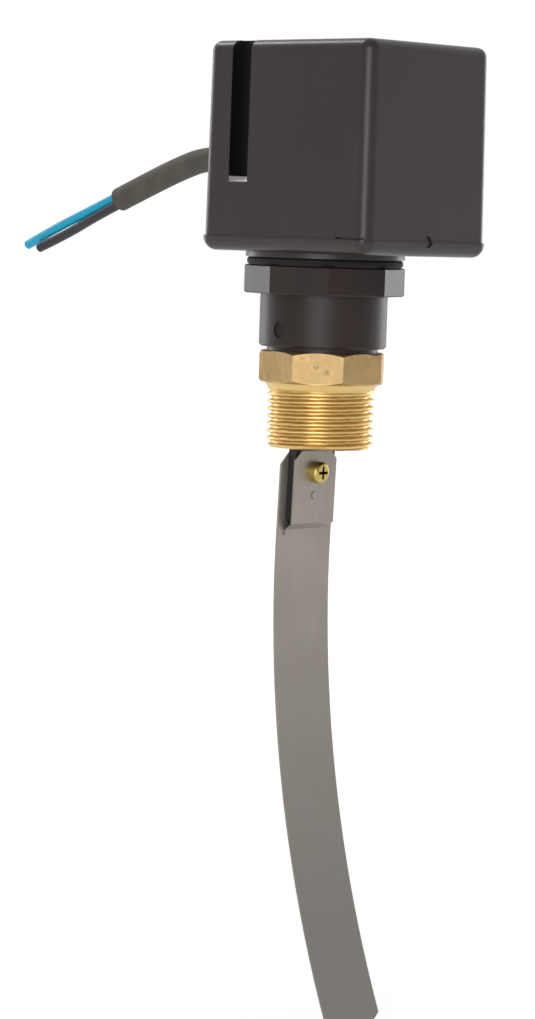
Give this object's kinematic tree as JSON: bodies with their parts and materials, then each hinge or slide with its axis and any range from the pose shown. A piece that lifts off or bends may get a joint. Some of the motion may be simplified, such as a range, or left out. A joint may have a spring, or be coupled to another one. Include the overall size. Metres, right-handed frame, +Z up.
{
  "type": "paddle flow switch",
  "caption": "Paddle flow switch: a square box on a threaded brass neck whose hinged paddle strip works a snap switch through a pair of magnets.",
  "frame": {"origin": "on the thread's axis at the thread's upper end, where the cone under the octagon begins", "axes": "+Z up along the thread's axis towards the box, +X the way the water flows, -Y the face of the box with the screw channel beside the cable end"},
  "size_m": [0.1417, 0.0458, 0.2422],
  "materials": {
    "satin_brass": "satin, lightly pitted casting skin with machined thread",
    "bright_brass": "turned, lightly worn",
    "neck_nylon": "dark brown-black glass-filled nylon, fine moulded grain",
    "housing_plastic": "black moulded plastic with a slight sheen",
    "black_rubber": "matt black rubber",
    "sheath_grey": "grey flexible sheath",
    "core_blue": "light blue insulation",
    "core_black": "black insulation",
    "spring_steel": "satin rolled stainless steel",
    "arm_nylon": "black moulded nylon",
    "magnet": "nickel-plated magnet",
    "zinc_steel": "zinc-plated steel",
    "dark_steel": "blackened steel",
    "switch_black": "moulded phenolic case",
    "button_red": "moulded button",
    "terminal_brass": "silvered brass tabs"
  },
  "bodies": {
    "housing": {"brass_fitting": "satin_brass", "neck_body": "neck_nylon", "lock_nut": "neck_nylon", "gland_body": "neck_nylon", "gland_cap": "neck_nylon", "gland_nut": "neck_nylon", "base": "housing_plastic", "cover": "housing_plastic", "fitting_ring": "black_rubber", "flange_gasket": "black_rubber", "cover_seal": "black_rubber", "gland_seal": "black_rubber", "cable_sheath": "sheath_grey", "inner_sheath": "sheath_grey", "blue_core": "core_blue", "black_core": "core_black", "pivot_pin": "dark_steel", "mechanism_frame": "zinc_steel", "frame_screws": "zinc_steel", "switch_screws": "zinc_steel", "lever_pin": "zinc_steel", "pin_clip": "zinc_steel", "range_spring": "zinc_steel", "cover_screws": "dark_steel", "switch_case": "switch_black", "switch_terminals": "terminal_brass"},
    "paddle": {"paddle_arm": "arm_nylon", "paddle_magnet": "magnet", "paddle_strip": "spring_steel", "clamp_leaf": "spring_steel", "paddle_screw": "bright_brass", "paddle_nut": "bright_brass", "paddle_dowel": "spring_steel"},
    "lever": {"magnet_lever": "arm_nylon", "lever_magnet": "magnet"},
    "button": {"switch_button": "button_red"},
    "range_screw": {"range_screw": "bright_brass"}
  },
  "joints": [
    {"name": "paddle_swing", "type": "hinge", "parent": "housing", "child": "paddle", "pos_m": [0, 0, 0.0144], "axis": [0, -1, 0], "range_deg": [0, 9], "stiffness_Nm_per_rad": 0.2, "springref_deg": -8.59},
    {"name": "magnet_lever_swing", "type": "hinge", "parent": "housing", "child": "lever", "pos_m": [0, 0, 0.066], "axis": [0, 1, 0], "range_deg": [0, 10.9], "deforming": ["range_spring"]},
    {"name": "switch_button_press", "type": "slide", "parent": "housing", "child": "button", "axis": [1, 0, 0], "range_m": [0, 0.00125]},
    {"name": "range_screw_turn", "type": "hinge", "parent": "housing", "child": "range_screw", "pos_m": [-0.011, 0, 0.0721], "axis": [0, 0, 1], "range_deg": [-360, 360]}
  ],
  "couplings": [
    {"joint": "magnet_lever_swing", "follows": "paddle_swing", "ratio": 1.2},
    {"joint": "switch_button_press", "follows": "paddle_swing", "m_per_rad": 0.0078}
  ]
}
